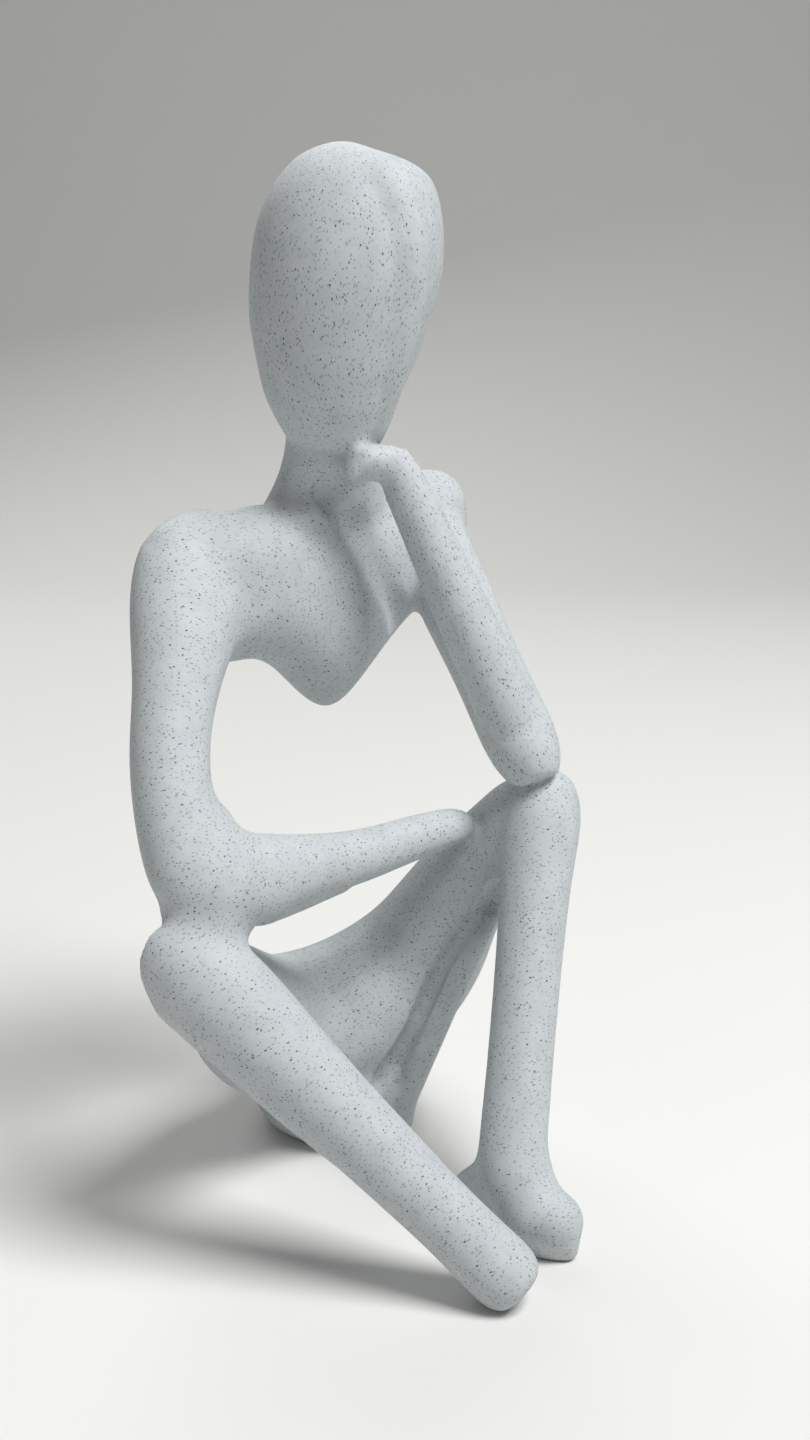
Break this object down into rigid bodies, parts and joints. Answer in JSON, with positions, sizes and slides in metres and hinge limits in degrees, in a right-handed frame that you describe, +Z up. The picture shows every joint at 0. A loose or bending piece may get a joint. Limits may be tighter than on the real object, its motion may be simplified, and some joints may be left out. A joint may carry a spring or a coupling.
{
  "type": "seated figure statue",
  "caption": "Abstract faceless figure seated with folded legs, one hand under its chin and the other arm across its knee, in pale speckled stone-effect print.",
  "frame": {"origin": "middle of the seat's flat underside, on the table", "axes": "+Z up, -Y towards the front that the knees and feet point to, +X towards the figure's left"},
  "size_m": [0.0762, 0.0915, 0.1793],
  "materials": {
    "stone_print": "matte",
    "dowel_print": "matte"
  },
  "bodies": {
    "root": {"head": "stone_print", "torso": "stone_print", "right_upper_arm": "stone_print", "right_forearm": "stone_print", "left_upper_arm": "stone_print", "left_forearm": "stone_print", "pelvis": "stone_print", "right_thigh": "stone_print", "right_shin": "stone_print", "left_thigh": "stone_print", "left_shin": "stone_print", "neck_dowel": "dowel_print", "shoulder_dowels": "dowel_print", "elbow_dowels": "dowel_print", "hip_dowels": "dowel_print", "knee_dowels": "dowel_print", "elbow_rest_pins": "dowel_print", "hand_pins": "dowel_print"}
  },
  "joints": []
}
